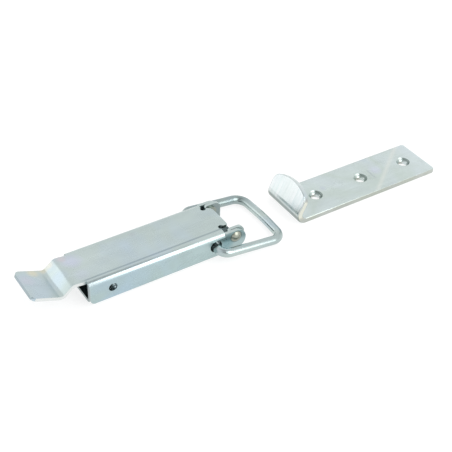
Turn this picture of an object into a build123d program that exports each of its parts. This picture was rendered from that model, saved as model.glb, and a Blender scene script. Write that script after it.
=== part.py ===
from build123d import *
from math import asin, cos, degrees, radians, sin, tan
import os

# Over centre toggle latch: a lever riveted to a screwed-down base, a wire bail
# hung in the lever, and the hooked keeper plate that the bail pulls on.
# X runs along the latch towards the keeper, Y across it, Z up.
# The origin is the base's middle screw hole, on the mounting face.

# ---- driving dimensions, mm ----
# sheet and channel sections
sheet = 1.6                 # lever and base sheet
lever_width = 26.0          # over the outside of the lever's flanges
lever_bend = 2.8            # outside bend radius of the lever's channel
base_bend = 3.0             # outside bend radius of the base's channel
side_play = 0.2             # gap on each side between lever flange and base wall
lever_top = 13.2            # top face of the closed lever above the mounting face
flange_lift = 1.3           # lower edge of the lever's flanges above the mounting face
closing_gap = 0.7           # lever's underside above the base's side walls when closed

# places along the latch
lever_rear = -40.0          # rear end of the lever's flanges
base_rear = -39.5
base_front = 41.4
rivet_x = 35.9
rivet_z = 8.7

# lever
ear_radius = 5.5            # full-round front end of each flange
ear_offset = 0.1            # ear centre behind the rivet
ear_start = 29.9            # where the flange's top edge steps down to the ear
notch_start = 29.8          # rear end of the relief beside the tongue
tongue_front = 34.3
tongue_width = 15.4
tongue_corner_near = 0.8    # front corner on the -Y side
tongue_corner_far = 3.2     # front corner on the +Y side
relief_hole_radius = 1.4    # round hole at the root of the tongue, on each side
relief_hole_x = 30.4
relief_hole_y = 8.0
heel_corner = 2.5           # lower rear corner of each flange
neck_width = 20.2           # handle strip behind the flanges
rise_x = -40.6              # where the strip starts to rise a little
crest_x = -46.3             # where it folds down
crest_z = 13.9
fold_x = -51.7              # where it folds up again into the finger tab
fold_z = 9.4
tip_x = -65.1
tip_z = 14.8
rise_radius = 8.0
crest_radius = 3.2
fold_radius = 2.2
tip_corner = 2.5

# lock hole through lever and base, for a padlock or pin
lock_x = -28.8
lock_z = 6.9
lock_diameter = 4.2

# rivets
rivet_diameter = 4.5
rivet_head_diameter = 5.6
rivet_head_height = 1.3
rivet_tail_diameter = 5.4
rivet_tail_height = 0.9
rivet_fit = 0.05            # radial and end clearance of the turning joint

# base
wall_notch_rear = 20.5      # the side walls are cut low from here to the lugs
wall_notch_floor = 3.4
wall_notch_corner = 1.5
lug_rear = 32.4
lug_top = 12.4
lug_rear_corner = 2.0
lug_front_corner = 3.4
lug_toe_corner = 3.0
screw_pitch = 24.0
screw_hole = 4.5
screw_sink = 7.4

# bail
wire = 4.4
bail_hole_diameter = 6.2
bail_hole_x = 24.9
bail_hole_z = 7.2
bail_seat_angle = -76.0     # side of the hole where the wire lies
bail_seat_gap = 0.05
bail_reach = 35.1           # from the pivot to the middle of the front bar
bail_bow = 1.0              # the front bar bulges forward by this much
bail_leg_spacing = 36.4     # between the centre lines of the two legs
bail_shift = -0.4           # the loose bail lies a little to one side
bail_end_overhang = 2.0     # each end reaches this far inside its flange
bail_rear_radius = 4.2
bail_corner_radius = 6.0
bail_bow_radius = 110.0

# keeper
keeper_sheet = 3.0
keeper_width = 26.0
keeper_heel = 71.9          # outermost line of the hook's bend
keeper_length = 89.0        # from that line to the plain end
hook_bend = 5.5             # outside bend radius
hook_lean = 65.0            # angle between tab and plate
hook_height = 11.2          # straight part of the tab, along its slope
hook_crown_radius = 23.0    # curve of the tab's top edge
hook_shoulder = 5.0
hook_cut = 0.5              # the cut that shapes the top edge runs past both faces by this
keeper_corner = 1.5
keeper_edge = 0.7
keeper_hole_inset = 10.9    # last hole to the plain end
keeper_pitch = 28.8

# ---- sizes that follow from them ----
lever_underside = lever_top - sheet
lever_inner_width = lever_width - 2 * sheet
base_width = lever_inner_width - 2 * side_play
base_inner_width = base_width - 2 * sheet
wall_top = lever_underside - closing_gap
ear_x = rivet_x - ear_offset
ear_z = flange_lift + ear_radius
ear_top = ear_z + ear_radius
ear_nose = ear_x + ear_radius
through = 2 * lever_width   # long enough to cut both sides at once

# ---- base ----
with BuildPart() as base:
    # channel section, open upward
    with BuildSketch(Plane.YZ.offset(base_rear)) as base_section:
        with Locations((0, lug_top / 2)):
            Rectangle(base_width, lug_top)
        fillet(base_section.vertices().group_by(Axis.Y)[0], base_bend)
        with BuildSketch(mode=Mode.SUBTRACT) as base_hollow:
            with Locations((0, sheet + lug_top / 2)):
                Rectangle(base_inner_width, lug_top)
            fillet(base_hollow.vertices().group_by(Axis.Y)[0], base_bend - sheet)
    extrude(amount=base_front - base_rear)
    # side walls: tall at the rear, low where the wire ends swing, then the lugs
    with BuildSketch(Plane.XZ) as wall_outline:
        with BuildLine():
            Polyline(
                (base_rear, 0),
                (base_front, 0),
                (base_front, lug_top),
                (lug_rear, lug_top),
                (lug_rear, wall_notch_floor),
                (wall_notch_rear, wall_notch_floor),
                (wall_notch_rear, wall_top),
                (base_rear, wall_top),
                close=True,
            )
        make_face()
        fillet(wall_outline.vertices().group_by(Axis.X)[-1].sort_by(Axis.Y)[0], lug_toe_corner)
        fillet(wall_outline.vertices().group_by(Axis.Y)[-1].sort_by(Axis.X)[-1], lug_front_corner)
        fillet(wall_outline.vertices().group_by(Axis.Y)[-1].sort_by(Axis.X)[0], lug_rear_corner)
    extrude(amount=through, both=True, mode=Mode.INTERSECT)
    # rounded corners in the low notch
    notch_edges = base.edges().filter_by(Axis.Y).filter_by_position(
        Axis.Z, wall_notch_floor - 0.01, wall_notch_floor + 0.01
    )
    fillet(notch_edges, wall_notch_corner)
    # between the bends the floor runs on to the line of the lugs' noses
    with BuildSketch(Plane.XY) as floor_lip:
        with Locations((base_front, 0)):
            Rectangle(
                2 * lug_toe_corner, base_width - 2 * base_bend, align=(Align.MAX, Align.CENTER)
            )
    extrude(amount=sheet)
    # three countersunk screw holes along the floor
    with Locations(Plane.XY.offset(sheet)):
        with GridLocations(screw_pitch, 0, 3, 1):
            CounterSinkHole(screw_hole / 2, screw_sink / 2, depth=sheet, counter_sink_angle=90)
    # holes across both walls: lock pin and rivets
    with BuildSketch(Plane.XZ) as base_cross_holes:
        with Locations((lock_x, lock_z)):
            Circle(lock_diameter / 2)
        with Locations((rivet_x, rivet_z)):
            Circle(rivet_diameter / 2 + rivet_fit)
    extrude(amount=through, both=True, mode=Mode.SUBTRACT)
base.part.label = "base"

# ---- lever ----
with BuildPart() as lever:
    # channel section, open downward
    with BuildSketch(Plane.YZ.offset(lever_rear)) as lever_section:
        with Locations((0, flange_lift)):
            Rectangle(lever_width, lever_top - flange_lift, align=(Align.CENTER, Align.MIN))
        fillet(lever_section.vertices().group_by(Axis.Y)[-1], lever_bend)
        with BuildSketch(mode=Mode.SUBTRACT) as lever_hollow:
            with Locations((0, lever_underside)):
                Rectangle(lever_inner_width, lever_top, align=(Align.CENTER, Align.MAX))
            fillet(lever_hollow.vertices().group_by(Axis.Y)[-1], lever_bend - sheet)
    extrude(amount=ear_start - lever_rear)
    # each flange runs on flat and ends in a full-round ear, a little lower than the top
    with BuildSketch(Plane.XZ) as ear_outline:
        with Locations((ear_start, flange_lift)):
            Rectangle(ear_x - ear_start, 2 * ear_radius, align=(Align.MIN, Align.MIN))
        with Locations((ear_x, ear_z)):
            Circle(ear_radius)
    extrude(amount=lever_width / 2, both=True)
    # space between the ears, and the relief behind and beside the tongue
    with BuildSketch(Plane.XY) as relief:
        with Locations((notch_start, 0)):
            Rectangle(ear_nose, lever_inner_width, align=(Align.MIN, Align.CENTER))
    extrude(amount=lever_top + sheet, mode=Mode.SUBTRACT)
    # tongue between the ears
    with BuildSketch(Plane.XY.offset(lever_underside)) as tongue:
        with Locations((notch_start - sheet, 0)):
            Rectangle(
                tongue_front - notch_start + sheet, tongue_width, align=(Align.MIN, Align.CENTER)
            )
        fillet(tongue.vertices().group_by(Axis.X)[-1].sort_by(Axis.Y)[-1], tongue_corner_far)
        fillet(tongue.vertices().group_by(Axis.X)[-1].sort_by(Axis.Y)[0], tongue_corner_near)
    extrude(amount=sheet)
    # a round hole on each side, where the tongue leaves the top
    with BuildSketch(Plane.XY.offset(lever_underside)) as relief_holes:
        with Locations((relief_hole_x, relief_hole_y), (relief_hole_x, -relief_hole_y)):
            Circle(relief_hole_radius)
    extrude(amount=sheet, mode=Mode.SUBTRACT)
    # lower rear corner of each flange
    heel_edges = lever.edges().filter_by(Axis.Y).group_by(Axis.X)[0].group_by(Axis.Z)[0]
    fillet(heel_edges, heel_corner)
    # handle strip: level, slightly up to the crest, down, and up again from the fold
    # to the finger tab
    with BuildSketch(Plane.XZ) as handle_profile:
        with BuildLine() as handle_line:
            FilletPolyline(
                (lever_rear + lever_bend, lever_top),
                (rise_x, lever_top),
                (crest_x, crest_z),
                (fold_x, fold_z),
                (tip_x, tip_z),
                radius=(rise_radius, crest_radius, fold_radius),
            )
            offset(amount=sheet, side=Side.LEFT)
        make_face()
    extrude(amount=neck_width / 2, both=True)
    tip_edges = lever.edges().filter_by(lambda e: abs(e.length - sheet) < 0.01).group_by(Axis.X)[0]
    fillet(tip_edges, tip_corner)
    # holes across both flanges: lock pin, bail ends and rivets
    with BuildSketch(Plane.XZ) as lever_cross_holes:
        with Locations((lock_x, lock_z)):
            Circle(lock_diameter / 2)
        with Locations((bail_hole_x, bail_hole_z)):
            Circle(bail_hole_diameter / 2)
        with Locations((rivet_x, rivet_z)):
            Circle(rivet_diameter / 2 + rivet_fit)
    extrude(amount=through, both=True, mode=Mode.SUBTRACT)
lever.part.label = "lever"

# ---- rivets ----
# shank from the tail, inside the lug, to the domed head outside the lever's ear
shank_inner = base_inner_width / 2
shank_outer = lever_width / 2 + rivet_fit
dome_radius = ((rivet_head_diameter / 2) ** 2 + rivet_head_height**2) / (2 * rivet_head_height)
with BuildPart() as rivet_far:
    with BuildSketch(Plane((rivet_x, 0, rivet_z), x_dir=(1, 0, 0), z_dir=(0, 0, 1))) as rivet_profile:
        with BuildLine():
            Polyline(
                (0, shank_outer + rivet_head_height),
                (0, shank_inner - rivet_tail_height),
                (rivet_tail_diameter / 2, shank_inner - rivet_tail_height),
                (rivet_tail_diameter / 2, shank_inner),
                (rivet_diameter / 2, shank_inner),
                (rivet_diameter / 2, shank_outer),
                (rivet_head_diameter / 2, shank_outer),
            )
            RadiusArc(
                (rivet_head_diameter / 2, shank_outer),
                (0, shank_outer + rivet_head_height),
                -dome_radius,
            )
        make_face()
    revolve(axis=Axis((rivet_x, 0, rivet_z), (0, 1, 0)))
rivet_far.part.label = "rivet_far"

with BuildPart() as rivet_near:
    add(rivet_far.part)
    mirror(about=Plane.XZ, mode=Mode.REPLACE)
rivet_near.part.label = "rivet_near"

# ---- bail ----
# the wire lies on the side of its hole, and the front bar rests on the mounting face
bail_play = (bail_hole_diameter - wire) / 2 - bail_seat_gap
pivot_x = bail_hole_x + bail_play * cos(radians(bail_seat_angle))
pivot_z = bail_hole_z + bail_play * sin(radians(bail_seat_angle))
bail_droop = degrees(asin((pivot_z - wire / 2) / bail_reach))
bail_end = lever_inner_width / 2 - bail_end_overhang
leg = bail_leg_spacing / 2
bail_pivot = Plane((pivot_x, bail_shift, pivot_z), x_dir=(1, 0, 0), z_dir=(0, 0, 1))
bail_plane = bail_pivot.rotated((0, bail_droop, 0))
with BuildPart() as bail:
    with BuildLine(bail_plane) as bail_path:
        FilletPolyline(
            (0, -bail_end),
            (0, -leg),
            (bail_reach - bail_bow, -leg),
            (bail_reach, 0),
            (bail_reach - bail_bow, leg),
            (0, leg),
            (0, bail_end),
            radius=(
                bail_rear_radius,
                bail_corner_radius,
                bail_bow_radius,
                bail_corner_radius,
                bail_rear_radius,
            ),
        )
    with BuildSketch(Plane(bail_path.line @ 0, z_dir=bail_path.line % 0)) as wire_section:
        Circle(wire / 2)
    sweep()
bail.part.label = "bail"

# ---- keeper ----
bend_centre_x = keeper_heel + hook_bend
bend_run = hook_bend / tan(radians(hook_lean / 2))
hook_root_x = bend_centre_x - bend_run
hook_slope = bend_run + hook_height
hook_top_x = hook_root_x + hook_slope * cos(radians(hook_lean))
hook_top_z = hook_slope * sin(radians(hook_lean))
keeper_end = keeper_heel + keeper_length
hook_face = Plane(
    origin=(hook_root_x, 0, 0),
    x_dir=(0, -1, 0),
    z_dir=(-sin(radians(hook_lean)), 0, cos(radians(hook_lean))),
)
with BuildPart() as keeper:
    # plate, bend and tab from one side profile
    with BuildSketch(Plane.XZ) as keeper_profile:
        with BuildLine() as keeper_line:
            FilletPolyline(
                (keeper_end, 0),
                (hook_root_x, 0),
                (hook_top_x, hook_top_z),
                radius=hook_bend,
            )
            offset(amount=keeper_sheet, side=Side.RIGHT)
        make_face()
    extrude(amount=keeper_width / 2, both=True)
    # the tab's top edge is a shallow arc between rounded shoulders
    with BuildSketch(hook_face.offset(hook_cut)) as hook_outline:
        with Locations((0, bend_run)):
            Rectangle(2 * keeper_width, 2 * hook_slope, align=(Align.CENTER, Align.MIN))
        with BuildSketch(mode=Mode.SUBTRACT) as crown:
            Rectangle(keeper_width, 2 * hook_slope, align=(Align.CENTER, Align.MIN))
            with Locations((0, hook_slope - hook_crown_radius)):
                Circle(hook_crown_radius, mode=Mode.INTERSECT)
            fillet(crown.vertices().group_by(Axis.Y)[-1], hook_shoulder)
    extrude(amount=-(keeper_sheet + 2 * hook_cut), mode=Mode.SUBTRACT)
    # corners of the plain end
    end_edges = keeper.edges().filter_by(Axis.Z).group_by(Axis.X)[-1]
    fillet(end_edges, keeper_corner)
    # all round, the sheared edges are slightly rolled over
    rim_edges = keeper.edges().filter_by(Axis.X).group_by(Axis.Y)
    fillet(rim_edges[0] + rim_edges[-1], keeper_edge)
    # three countersunk screw holes
    with Locations(Plane.XY.offset(keeper_sheet)):
        with Locations((keeper_end - keeper_hole_inset - keeper_pitch, 0)):
            with GridLocations(keeper_pitch, 0, 3, 1):
                CounterSinkHole(
                    screw_hole / 2, screw_sink / 2, depth=keeper_sheet, counter_sink_angle=90
                )
keeper.part.label = "keeper"

os.makedirs("parts", exist_ok=True)
export_step(base.part, "parts/base.step")
export_step(lever.part, "parts/lever.step")
export_step(rivet_near.part, "parts/rivet_near.step")
export_step(rivet_far.part, "parts/rivet_far.step")
export_step(bail.part, "parts/bail.step")
export_step(keeper.part, "parts/keeper.step")
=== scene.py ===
import math

import bpy
from mathutils import Matrix, Vector

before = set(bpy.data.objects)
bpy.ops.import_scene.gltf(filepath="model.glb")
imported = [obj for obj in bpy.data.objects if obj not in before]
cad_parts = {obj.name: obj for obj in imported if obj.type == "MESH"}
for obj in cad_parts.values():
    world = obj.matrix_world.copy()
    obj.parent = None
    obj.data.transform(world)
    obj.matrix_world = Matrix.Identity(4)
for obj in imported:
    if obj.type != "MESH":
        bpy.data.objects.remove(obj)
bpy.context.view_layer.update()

MM = 0.001

# places on the part that the marks and the painted shade follow
RIVET_X = 35.9 * MM
RIVET_Z = 8.7 * MM
EAR_SHADOW = (31.0, 13.0, 6.8)  # beside each ear, mm; the second value is mirrored
COUNTERSINK_NORMAL_Z = 0.7071  # upward part of the normal on the countersinks' walls
STREAK_SLANT = 1.29  # how far the pale streak on the plate runs along X for its run along Y

# surface detail shared by all plated pieces
BUMP_STRENGTH = 0.15
BUMP_DISTANCE = 0.00003
MATTE_ROUGHNESS = 0.24  # added where a surface is marked as matte

# sheared edges
EDGE_WIDTH = {"base": 0.25, "lever": 0.35, "keeper": 0.3}  # mm
EDGE_SEGMENTS = 3
EDGE_ANGLE = 35  # degrees; sharper edges are eased
FLAT_ANGLE = 0.3  # degrees; flatter facets are joined first
WELD_DISTANCE = 0.000002

# floor, lights and camera
FLOOR_REACH = 3.0
FLOOR_DROP = 0.00003  # below the mounting face, so that the two never coincide
LIGHT_TARGET = Vector((0.04, 0.0, 0.01))
AZIMUTH = math.radians(-34.154)
ELEVATION = math.radians(38.849)
ROLL = math.radians(2.304)
DISTANCE = 487.206 * MM
TARGET = Vector((42.02 * MM, 4.92 * MM, 0.0))
SENSOR_WIDTH = 36.0
FOCAL_LENGTH = 79.646  # 1000 px in an image 452 px wide


# ---------------------------------------------------------------- node helpers
def add_node(tree, kind, inputs=None, **props):
    """A node with its properties and inputs set; an input is a value or another node's socket."""
    node = tree.nodes.new(kind)
    for key, value in props.items():
        setattr(node, key, value)
    for key, value in (inputs or {}).items():
        if isinstance(value, bpy.types.NodeSocket):
            tree.links.new(value, node.inputs[key])
        else:
            node.inputs[key].default_value = value
    return node


def calc(tree, operation, a, b=None, c=None, clamp=False):
    """One Math node; returns its result socket."""
    inputs = {0: a}
    if b is not None:
        inputs[1] = b
    if c is not None:
        inputs[2] = c
    return add_node(tree, "ShaderNodeMath", inputs, operation=operation, use_clamp=clamp).outputs[0]


def remap(tree, value, low, high, to_low=0.0, to_high=1.0, smooth=True):
    """value from low..high to to_low..to_high, clamped."""
    node = add_node(
        tree,
        "ShaderNodeMapRange",
        {"Value": value, "From Min": low, "From Max": high, "To Min": to_low, "To Max": to_high},
        interpolation_type="SMOOTHSTEP" if smooth else "LINEAR",
    )
    return node.outputs["Result"]


def noise(tree, vector, scale, detail=2.0, roughness=0.5, distortion=0.0):
    node = add_node(
        tree,
        "ShaderNodeTexNoise",
        {
            "Vector": vector,
            "Scale": scale,
            "Detail": detail,
            "Roughness": roughness,
            "Distortion": distortion,
        },
    )
    return node.outputs["Fac"]


def mapping(tree, vector, scale=(1, 1, 1), rotation=(0, 0, 0), location=(0, 0, 0)):
    node = add_node(
        tree,
        "ShaderNodeMapping",
        {"Vector": vector, "Scale": scale, "Rotation": rotation, "Location": location},
    )
    return node.outputs["Vector"]


def blend_colour(tree, factor, a, b, blend_type="MIX"):
    node = add_node(tree, "ShaderNodeMix", data_type="RGBA", blend_type=blend_type)
    for index, value in ((0, factor), (6, a), (7, b)):
        if isinstance(value, bpy.types.NodeSocket):
            tree.links.new(value, node.inputs[index])
        elif index == 0:
            node.inputs[index].default_value = value
        else:
            node.inputs[index].default_value = (*value, 1.0)
    return node.outputs[2]


def ramp(tree, factor, stops):
    node = add_node(tree, "ShaderNodeValToRGB", {"Fac": factor})
    elements = node.color_ramp.elements
    while len(elements) < len(stops):
        elements.new(0.5)
    for element, (position, colour) in zip(elements, stops):
        element.position = position
        element.color = (*colour, 1.0)
    return node.outputs["Color"]


def xyz(coordinates, which):
    """The X, Y and Z sockets of the place (Object) or of the surface normal (Normal)."""
    split = add_node(coordinates.id_data, "ShaderNodeSeparateXYZ", {0: coordinates.outputs[which]})
    return split.outputs


def both(tree, a, b):
    """Two masks together."""
    return calc(tree, "MULTIPLY", a, b)


def direction(heading, height):
    """The unit vector towards a heading and a height above the floor, in degrees."""
    heading, height = math.radians(heading), math.radians(height)
    return (
        math.cos(heading) * math.cos(height),
        math.sin(heading) * math.cos(height),
        math.sin(height),
    )


# ---------------------------------------------------------------- materials
def zinc(name, tints, rough, seed, patches=(), marks=None, matte=None, scuff=0.5):
    """Bright zinc plating with a thin passivation film: cloudy tints, rolling lines, scuffs.

    patches holds (centre mm, radius mm, colour, strength); marks adds shading of the part's own,
    from the place and the surface normal, as a factor on the colour; matte gives where it is rough.
    """
    material = bpy.data.materials.new(name)
    material.use_nodes = True
    tree = material.node_tree
    tree.nodes.clear()
    coordinates = add_node(tree, "ShaderNodeTexCoord")
    place = coordinates.outputs["Object"]
    shifted = mapping(tree, place, location=(seed * 0.37, seed * 0.11, seed * 0.23))

    # film tints drift over a few centimetres
    cloud = noise(tree, shifted, 34.0, 2.0, 0.5, 0.5)
    cloud = remap(tree, cloud, 0.30, 0.70, smooth=False)
    last = len(tints) - 1
    colour = ramp(tree, cloud, [(i / last, tint) for i, tint in enumerate(tints)])
    wobble = noise(tree, shifted, 230.0, 2.0, 0.5)
    for centre, radius, tint, strength in patches:
        away = distance_from(tree, place, centre)
        away = calc(tree, "MULTIPLY_ADD", wobble, radius * MM * 0.5, away)
        inside = remap(tree, away, radius * MM * 0.4, radius * MM * 1.35, strength, 0.0)
        colour = blend_colour(tree, inside, colour, tint)

    # soft mottle of a few millimetres, slanting drifts, faint lines along the rolled strip
    mottle = noise(tree, shifted, 150.0, 3.0, 0.45, 0.6)
    rolled = noise(tree, mapping(tree, shifted, scale=(45, 1500, 1500)), 1.0, 2.0, 0.5)
    slanting = mapping(tree, shifted, scale=(70, 190, 100), rotation=(0, 0, 0.5))
    drift = noise(tree, slanting, 1.0, 3.0)
    shade = remap(tree, mottle, 0.3, 0.7, 0.98, 1.02, smooth=False)
    lines = remap(tree, rolled, 0.3, 0.7, 0.985, 1.015, smooth=False)
    shade = calc(tree, "MULTIPLY", shade, lines)
    drift = remap(tree, drift, 0.3, 0.7, 0.965, 1.035, smooth=False)
    shade = calc(tree, "MULTIPLY", shade, drift)

    # smudges and a few short scratches from handling
    smudge = noise(tree, shifted, 120.0, 3.0, 0.6, 1.0)
    smudge = remap(tree, smudge, 0.60, 0.74, 0.0, 0.10 * scuff)
    where = remap(tree, noise(tree, shifted, 75.0, 2.0), 0.54, 0.66)
    scratches = None
    for turn, stretch in ((0.5, 1.0), (-0.9, 1.35), (1.9, 0.8)):
        spread = (60 * stretch, 2100 * stretch, 800)
        turned = mapping(tree, shifted, scale=spread, rotation=(0, 0, turn))
        line = noise(tree, turned, 1.0, 1.0, 0.4)
        line = remap(tree, line, 0.71, 0.76)
        scratches = line if scratches is None else calc(tree, "MAXIMUM", scratches, line)
    scratches = calc(tree, "MULTIPLY", scratches, where)
    shade = calc(tree, "SUBTRACT", shade, smudge)
    shade = calc(tree, "SUBTRACT", shade, calc(tree, "MULTIPLY", scratches, 0.08 * scuff))
    shaded = add_node(tree, "ShaderNodeVectorMath", {0: colour, 3: shade}, operation="SCALE")
    colour = shaded.outputs["Vector"]
    if marks is not None:
        colour = marks(tree, coordinates, colour)

    roughness = remap(tree, mottle, 0.3, 0.7, rough - 0.03, rough + 0.03, smooth=False)
    roughness = calc(tree, "MULTIPLY_ADD", smudge, 0.9, roughness)
    roughness = calc(tree, "MULTIPLY_ADD", scratches, 0.10 * scuff, roughness, clamp=True)
    if matte is not None:
        is_matte = matte(tree, coordinates)
        roughness = calc(tree, "MULTIPLY_ADD", is_matte, MATTE_ROUGHNESS, roughness)

    height = calc(tree, "MULTIPLY", mottle, 0.5)
    height = calc(tree, "MULTIPLY_ADD", rolled, 0.08, height)
    height = calc(tree, "MULTIPLY_ADD", scratches, -0.2, height)
    bump = add_node(
        tree,
        "ShaderNodeBump",
        {"Height": height, "Strength": BUMP_STRENGTH, "Distance": BUMP_DISTANCE},
    )

    shader = add_node(
        tree,
        "ShaderNodeBsdfPrincipled",
        {
            "Base Color": colour,
            "Metallic": 1.0,
            "Roughness": roughness,
            "Normal": bump.outputs["Normal"],
        },
    )
    add_node(tree, "ShaderNodeOutputMaterial", {"Surface": shader.outputs["BSDF"]})
    return material


def distance_from(tree, place, centre):
    """How far the place is from a point that is given in mm."""
    point = tuple(MM * c for c in centre)
    node = add_node(tree, "ShaderNodeVectorMath", {0: place, 1: point}, operation="DISTANCE")
    return node.outputs["Value"]


def side_shade_tint(tree, coordinates, colour, tint, low=0.75, high=0.95):
    """Multiplies the colour by tint where the surface faces sideways, along Y: painted shade, and
    on the keeper duller sheared edges too.
    """
    axes = xyz(coordinates, "Normal")
    sideways = calc(tree, "ABSOLUTE", axes["Y"])
    return blend_colour(tree, remap(tree, sideways, low, high), colour, tint, "MULTIPLY")


def band(tree, value, low, high, soft):
    """1 where value is between low and high, with soft ends; everything in metres."""
    rise = remap(tree, value, low - soft, low + soft)
    fall = remap(tree, value, high - soft, high + soft, 1.0, 0.0)
    return both(tree, rise, fall)


def sheet_marks(tree, coordinates, colour):
    """The lever: painted shade on the flanges, strip arrises, rear faces, beside the ears, round
    the rivets and inside; a painted dark reflection line by the near bend; a painted highlight on
    the strip's edges.
    """
    # painted shade on the flanges, which face sideways
    colour = side_shade_tint(tree, coordinates, colour, (0.83, 0.895, 0.915))
    place = xyz(coordinates, "Object")
    across = calc(tree, "ABSOLUTE", place["Y"])

    # a painted dark reflection line along the near bend, on the top face only
    bend_dark_reflection = band(tree, place["Y"], -9.7 * MM, -8.8 * MM, 0.4 * MM)
    on_top = remap(tree, place["Z"], 12.9 * MM, 13.1 * MM)
    bend_dark_reflection = both(tree, bend_dark_reflection, on_top)
    bend_dark_reflection = both(tree, bend_dark_reflection, remap(tree, place["X"], -43.0 * MM, -39.0 * MM, 0.0, 0.9))
    colour = blend_colour(tree, bend_dark_reflection, colour, (0.62, 0.65, 0.69), "MULTIPLY")

    # the handle strip's sides: painted shade on the arris above a painted highlight on the sheared
    # edge
    axes = xyz(coordinates, "Normal")
    level = calc(tree, "ABSOLUTE", axes["Y"])
    on_strip = remap(tree, place["X"], -41.0 * MM, -39.5 * MM, 1.0, 0.0)
    arris_shade = both(tree, band(tree, level, 0.40, 0.80, 0.12), on_strip)
    arris_shade = both(tree, arris_shade, remap(tree, axes["Z"], 0.25, 0.45))
    colour = blend_colour(tree, arris_shade, colour, (0.50, 0.54, 0.56), "MULTIPLY")
    edge = both(tree, remap(tree, level, 0.90, 0.97), on_strip)
    colour = blend_colour(tree, edge, colour, (0.72, 0.75, 0.74))

    # painted shade on faces that look to the rear, and the shade in the step beside each ear
    rear_face_shade = remap(tree, axes["X"], -0.80, -0.92)
    colour = blend_colour(tree, rear_face_shade, colour, (0.70, 0.72, 0.73), "MULTIPLY")
    x, y, z = EAR_SHADOW
    for side in (-1, 1):
        away = distance_from(tree, coordinates.outputs["Object"], (x, side * y, z))
        shadow = remap(tree, away, 1.5 * MM, 5.0 * MM, 0.75, 0.0)
        colour = blend_colour(tree, shadow, colour, (0.50, 0.68, 0.74), "MULTIPLY")

    # painted shade in a ring round the rivets
    aside = calc(tree, "SUBTRACT", place["X"], RIVET_X)
    above = calc(tree, "SUBTRACT", place["Z"], RIVET_Z)
    squares = calc(
        tree, "ADD", calc(tree, "MULTIPLY", aside, aside), calc(tree, "MULTIPLY", above, above)
    )
    from_rivet = calc(tree, "SQRT", squares)
    rivet_ring_shade = remap(tree, from_rivet, 2.8 * MM, 3.6 * MM, 0.8, 0.0)
    colour = blend_colour(tree, rivet_ring_shade, colour, (0.45, 0.48, 0.46), "MULTIPLY")

    # painted shade inside the channel
    inside = both(
        tree,
        remap(tree, across, 11.35 * MM, 11.45 * MM, 1.0, 0.0),
        remap(tree, place["Z"], 11.6 * MM, 11.7 * MM, 1.0, 0.0),
    )
    inside = both(tree, inside, remap(tree, place["X"], -41.5 * MM, -40.5 * MM))
    return blend_colour(tree, inside, colour, (0.55, 0.58, 0.60), "MULTIPLY")


def base_marks(tree, coordinates, colour):
    """The base: painted shade inside the channel, on the low stretch of wall and on rear faces,
    deeper towards both ends.
    """
    place = xyz(coordinates, "Object")
    across = calc(tree, "ABSOLUTE", place["Y"])
    # painted shade inside the channel
    inside = both(
        tree,
        remap(tree, across, 9.55 * MM, 9.65 * MM, 1.0, 0.0),
        remap(tree, place["Z"], 1.5 * MM, 1.58 * MM),
    )
    # painted shade on the low stretch of wall near the front
    low_wall = both(
        tree,
        band(tree, place["X"], 19.5 * MM, 33.0 * MM, 0.8 * MM),
        band(tree, place["Z"], 3.3 * MM, 9.5 * MM, 0.1 * MM),
    )
    axes = xyz(coordinates, "Normal")
    # painted shade on faces that look to the rear
    rear_face_shade = remap(tree, axes["X"], -0.80, -0.92)
    colour = blend_colour(tree, rear_face_shade, colour, (0.62, 0.64, 0.65), "MULTIPLY")
    inside = calc(tree, "MAXIMUM", inside, low_wall)
    colour = blend_colour(tree, inside, colour, (0.55, 0.58, 0.59), "MULTIPLY")
    # the painted shade inside grows deeper towards both ends
    middle = band(tree, place["X"], -33.0 * MM, 17.0 * MM, 4.0 * MM)
    end_shade = both(tree, inside, calc(tree, "SUBTRACT", 1.0, middle))
    return blend_colour(tree, end_shade, colour, (0.36, 0.40, 0.41), "MULTIPLY")


def plate_marks(tree, coordinates, colour):
    """The keeper: duller sheared edges with painted shade, painted shade on the countersinks, the
    hook's bend and the far edge, a pale hook side face partly painted highlight, and a streaked
    hook.
    """
    axes = xyz(coordinates, "Normal")
    # sideways faces: duller sheared edges, with painted shade that tones down their arrises
    colour = side_shade_tint(tree, coordinates, colour, (0.79, 0.74, 0.69), 0.55, 0.95)
    place = xyz(coordinates, "Object")
    on_hook = remap(tree, axes["X"], -0.5, -0.8)
    streaks = noise(
        tree, mapping(tree, coordinates.outputs["Object"], scale=(60, 900, 60)), 1.0, 3.0, 0.65
    )
    streaks = both(tree, remap(tree, streaks, 0.35, 0.70), on_hook)
    colour = blend_colour(tree, streaks, colour, (0.70, 0.735, 0.74))
    # painted shade on the hook's bend
    hook_bend_shade = band(tree, place["Z"], 1.8 * MM, 5.6 * MM, 0.9 * MM)
    hook_bend_shade = both(tree, hook_bend_shade, remap(tree, axes["X"], -0.2, -0.5))
    colour = blend_colour(tree, hook_bend_shade, colour, (0.42, 0.455, 0.44), "MULTIPLY")
    # the hook's near side face: a pale yellowish sheared edge, partly its own tone and partly
    # painted highlight
    beside = both(
        tree,
        remap(tree, axes["Y"], -0.90, -0.97),
        remap(tree, place["Z"], 3.4 * MM, 5.0 * MM),
    )
    colour = blend_colour(tree, beside, colour, (0.70, 0.715, 0.63))
    # painted shade on the far arris
    far_edge_shade = both(
        tree,
        remap(tree, axes["Y"], 0.15, 0.5),
        remap(tree, place["Y"], 12.4 * MM, 12.7 * MM),
    )
    colour = blend_colour(tree, far_edge_shade, colour, (0.74, 0.67, 0.65), "MULTIPLY")
    colour = plate_scuffs(tree, place, colour)
    # painted shade on the countersink walls, which are also rougher
    cone = countersinks(tree, coordinates)
    return blend_colour(tree, cone, colour, (0.80, 0.82, 0.81), "MULTIPLY")


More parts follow.
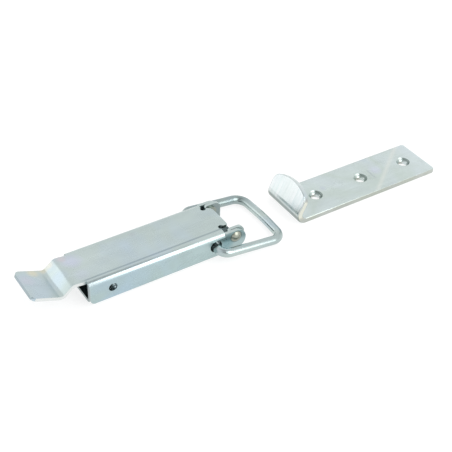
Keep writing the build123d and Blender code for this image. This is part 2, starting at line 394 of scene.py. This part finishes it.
def countersinks(tree, coordinates):
    """1 on the 45 degree walls of the screw holes."""
    axes = xyz(coordinates, "Normal")
    place = xyz(coordinates, "Object")
    slant = calc(tree, "ABSOLUTE", calc(tree, "SUBTRACT", axes["Z"], COUNTERSINK_NORMAL_Z))
    cone = remap(tree, slant, 0.01, 0.03, 1.0, 0.0)
    across = calc(tree, "ABSOLUTE", place["Y"])
    return both(tree, cone, remap(tree, across, 3.9 * MM, 4.1 * MM, 1.0, 0.0))


def plate_scuffs(tree, place, colour):
    """A pale streak slanting across the plate, and a short dark scuff beside the middle hole."""
    slanted = calc(tree, "MULTIPLY_ADD", place["Y"], -STREAK_SLANT, place["X"])
    streak = band(tree, slanted, 137.4 * MM, 140.6 * MM, 1.6 * MM)
    on_top = remap(tree, place["Z"], 2.9 * MM, 2.98 * MM)
    streak = calc(tree, "MULTIPLY", both(tree, streak, on_top), 0.40)
    colour = blend_colour(tree, streak, colour, (0.77, 0.79, 0.74))
    scuff = band(tree, place["X"], 127.9 * MM, 128.7 * MM, 0.5 * MM)
    scuff = both(tree, scuff, band(tree, place["Y"], -4.0 * MM, 3.6 * MM, 1.2 * MM))
    scuff = calc(tree, "MULTIPLY", both(tree, scuff, on_top), 0.55)
    return blend_colour(tree, scuff, colour, (0.42, 0.47, 0.50))


def wire_marks(tree, coordinates, colour):
    """The bail: painted shade on the legs, the far one more than the near one, and on the front
    bar.
    """
    place = xyz(coordinates, "Object")
    # painted shade on the far leg
    far = remap(tree, place["Y"], 8.0 * MM, 16.0 * MM)
    colour = blend_colour(tree, far, colour, (0.60, 0.635, 0.65), "MULTIPLY")
    # painted shade on the near leg
    near = remap(tree, place["Y"], -13.0 * MM, -17.0 * MM)
    colour = blend_colour(tree, near, colour, (0.87, 0.88, 0.89), "MULTIPLY")
    # painted shade on the front bar
    front = remap(tree, place["X"], 50.0 * MM, 58.0 * MM)
    return blend_colour(tree, front, colour, (0.90, 0.91, 0.92), "MULTIPLY")


GREEN_GREY = (0.50, 0.585, 0.575)
BLUE_GREY = (0.49, 0.585, 0.64)
LAVENDER = (0.55, 0.58, 0.66)
STRAW = (0.68, 0.65, 0.50)
PALE = (0.60, 0.68, 0.69)
SAGE = (0.56, 0.645, 0.615)

sheet_zinc = zinc(
    "zinc_sheet_film",
    [BLUE_GREY, GREEN_GREY, GREEN_GREY, BLUE_GREY],
    0.28,
    1.0,
    patches=[
        ((-34.0, 2.0, 13.2), 16.0, (0.56, 0.645, 0.635), 0.8),
        ((-60.0, 0.0, 13.0), 13.0, BLUE_GREY, 0.9),
        ((-62.0, 3.0, 13.5), 4.5, LAVENDER, 0.7),
        ((-57.0, 8.5, 12.0), 4.0, STRAW, 0.75),
        ((-52.0, 9.5, 10.0), 3.0, STRAW, 0.7),
        ((-49.0, 9.5, 12.0), 3.0, (0.72, 0.70, 0.62), 0.7),
        ((-49.0, -1.0, 11.6), 6.0, (0.50, 0.60, 0.68), 0.7),
        ((-40.0, 5.0, 13.2), 6.0, (0.57, 0.61, 0.73), 0.8),
        ((-43.5, 8.5, 13.5), 3.0, (0.64, 0.60, 0.64), 0.7),
        ((-40.0, -5.0, 13.2), 5.0, (0.55, 0.61, 0.70), 0.5),
        ((-8.0, 8.0, 13.2), 2.2, (0.46, 0.51, 0.53), 0.5),
    ],
    marks=sheet_marks,
    scuff=0.2,
)
base_zinc = zinc(
    "zinc_base_film", [BLUE_GREY, GREEN_GREY, GREEN_GREY, BLUE_GREY], 0.32, 4.0, marks=base_marks
)
plate_zinc = zinc(
    "zinc_plate_film",
    [PALE, SAGE, PALE, BLUE_GREY],
    0.24,
    2.0,
    patches=[
        ((170.0, 4.0, 3.0), 32.0, (0.67, 0.75, 0.77), 0.9),
        ((132.5, 1.5, 3.0), 4.5, (0.60, 0.645, 0.74), 0.7),
        ((99.0, 2.6, 3.0), 2.4, (0.52, 0.58, 0.64), 0.6),
        ((76.0, 0.0, 14.0), 16.0, (0.64, 0.695, 0.69), 0.8),
        ((74.0, -12.5, 6.0), 4.0, (0.70, 0.72, 0.60), 0.6),
    ],
    marks=plate_marks,
    matte=countersinks,
)
wire_zinc = zinc(
    "zinc_wire_film", [BLUE_GREY, GREEN_GREY, SAGE, BLUE_GREY], 0.26, 3.0, marks=wire_marks
)
rivet_zinc = zinc("rivet_film", [(0.36, 0.37, 0.305), (0.325, 0.36, 0.315)], 0.30, 5.0)

FINISHES = {
    "base": base_zinc,
    "lever": sheet_zinc,
    "keeper": plate_zinc,
    "bail": wire_zinc,
    "rivet_near": rivet_zinc,
    "rivet_far": rivet_zinc,
}

for node_name, material in FINISHES.items():
    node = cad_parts[node_name]
    node.data.materials.clear()
    node.data.materials.append(material)
    if node_name in EDGE_WIDTH:
        weld = node.modifiers.new("weld", "WELD")
        weld.merge_threshold = WELD_DISTANCE
        flat = node.modifiers.new("flat_faces", "DECIMATE")
        flat.decimate_type = "DISSOLVE"
        flat.angle_limit = math.radians(FLAT_ANGLE)
        edge = node.modifiers.new("eased_edges", "BEVEL")
        edge.width = EDGE_WIDTH[node_name] * MM
        edge.segments = EDGE_SEGMENTS
        edge.limit_method = "ANGLE"
        edge.angle_limit = math.radians(EDGE_ANGLE)
        edge.harden_normals = True

# ---------------------------------------------------------------- floor, lights, camera
floor_mesh = bpy.data.meshes.new("floor")
floor_turns = ((-1, -1), (1, -1), (1, 1), (-1, 1))
floor_corners = [(x * FLOOR_REACH, y * FLOOR_REACH, 0) for x, y in floor_turns]
floor_mesh.from_pydata(floor_corners, [], [(0, 1, 2, 3)])
floor = bpy.data.objects.new("floor", floor_mesh)
floor.location.z = -FLOOR_DROP
bpy.context.scene.collection.objects.link(floor)
paper = bpy.data.materials.new("backlit_white_sheet")
paper.use_nodes = True
paper_tree = paper.node_tree
paper_tree.nodes.clear()
paper_place = add_node(paper_tree, "ShaderNodeTexCoord").outputs["Object"]
fibre = noise(paper_tree, paper_place, 900.0, 3.0)
paper_tone = ramp(paper_tree, fibre, [(0.0, (0.29, 0.29, 0.29)), (1.0, (0.31, 0.31, 0.31))])
paper_shader = add_node(
    paper_tree,
    "ShaderNodeBsdfPrincipled",
    {
        "Base Color": paper_tone,
        "Roughness": 0.9,
        "Emission Color": (1.0, 1.0, 1.0, 1.0),
        "Emission Strength": 0.75,
    },
)
add_node(paper_tree, "ShaderNodeOutputMaterial", {"Surface": paper_shader.outputs["BSDF"]})
floor_mesh.materials.append(paper)

# the room: white walls, a darker ceiling, and the dark place where the photographer stands
world = bpy.data.worlds.new("studio")
bpy.context.scene.world = world
world.use_nodes = True
sky = world.node_tree
sky.nodes.clear()
facing = add_node(sky, "ShaderNodeTexCoord").outputs["Generated"]


def room_lobe(heading, height, inner, outer, level):
    """A factor on the room's brightness: level up to inner degrees away, and 1 beyond outer."""
    towards = direction(heading, height)
    dot = add_node(sky, "ShaderNodeVectorMath", {0: facing, 1: towards}, operation="DOT_PRODUCT")
    near, far = math.cos(math.radians(inner)), math.cos(math.radians(outer))
    return remap(sky, dot.outputs["Value"], far, near, 1.0, level)


ceiling = room_lobe(70, 90, 8, 25, 0.50)
photographer = room_lobe(-118, 44, 14, 30, 0.40)
strength = calc(sky, "MULTIPLY", ceiling, photographer)
background = add_node(
    sky, "ShaderNodeBackground", {"Color": (1.0, 1.0, 1.0, 1.0), "Strength": strength}
)
add_node(sky, "ShaderNodeOutputWorld", {"Surface": background.outputs["Background"]})


def softbox(name, heading, height, distance, size, radiance):
    """A rectangular area light that faces the latch from a heading and a height, in degrees."""
    towards = Vector(direction(heading, height))
    data = bpy.data.lights.new(name, "AREA")
    data.shape = "RECTANGLE"
    data.size, data.size_y = size
    data.energy = radiance * math.pi * size[0] * size[1]
    light = bpy.data.objects.new(name, data)
    light.location = LIGHT_TARGET + towards * distance
    light.rotation_euler = towards.to_track_quat("Z", "Y").to_euler()
    bpy.context.scene.collection.objects.link(light)


softbox("front_softbox", -71, 37, 1.2, (0.9, 1.15), 2.3)
softbox("left_softbox", 140, 18, 1.2, (0.9, 0.9), 0.50)

# the camera stands at the photograph's place: turned and raised about a target on the floor
back = Vector(
    (
        math.sin(AZIMUTH) * math.cos(ELEVATION),
        -math.cos(AZIMUTH) * math.cos(ELEVATION),
        math.sin(ELEVATION),
    )
)
right = Vector((0, 0, 1)).cross(back).normalized()
up = back.cross(right)
camera_data = bpy.data.cameras.new("camera")
camera_data.sensor_width = SENSOR_WIDTH
camera_data.lens = FOCAL_LENGTH
camera_data.clip_start = 0.01
camera_data.clip_end = 20.0
camera = bpy.data.objects.new("camera", camera_data)
turn = Matrix((right, up, back)).transposed() @ Matrix.Rotation(ROLL, 3, "Z")
camera.matrix_world = Matrix.Translation(TARGET + back * DISTANCE) @ turn.to_4x4()
bpy.context.scene.collection.objects.link(camera)
bpy.context.scene.camera = camera
bpy.context.scene.view_settings.view_transform = "Standard"

bpy.context.view_layer.update()
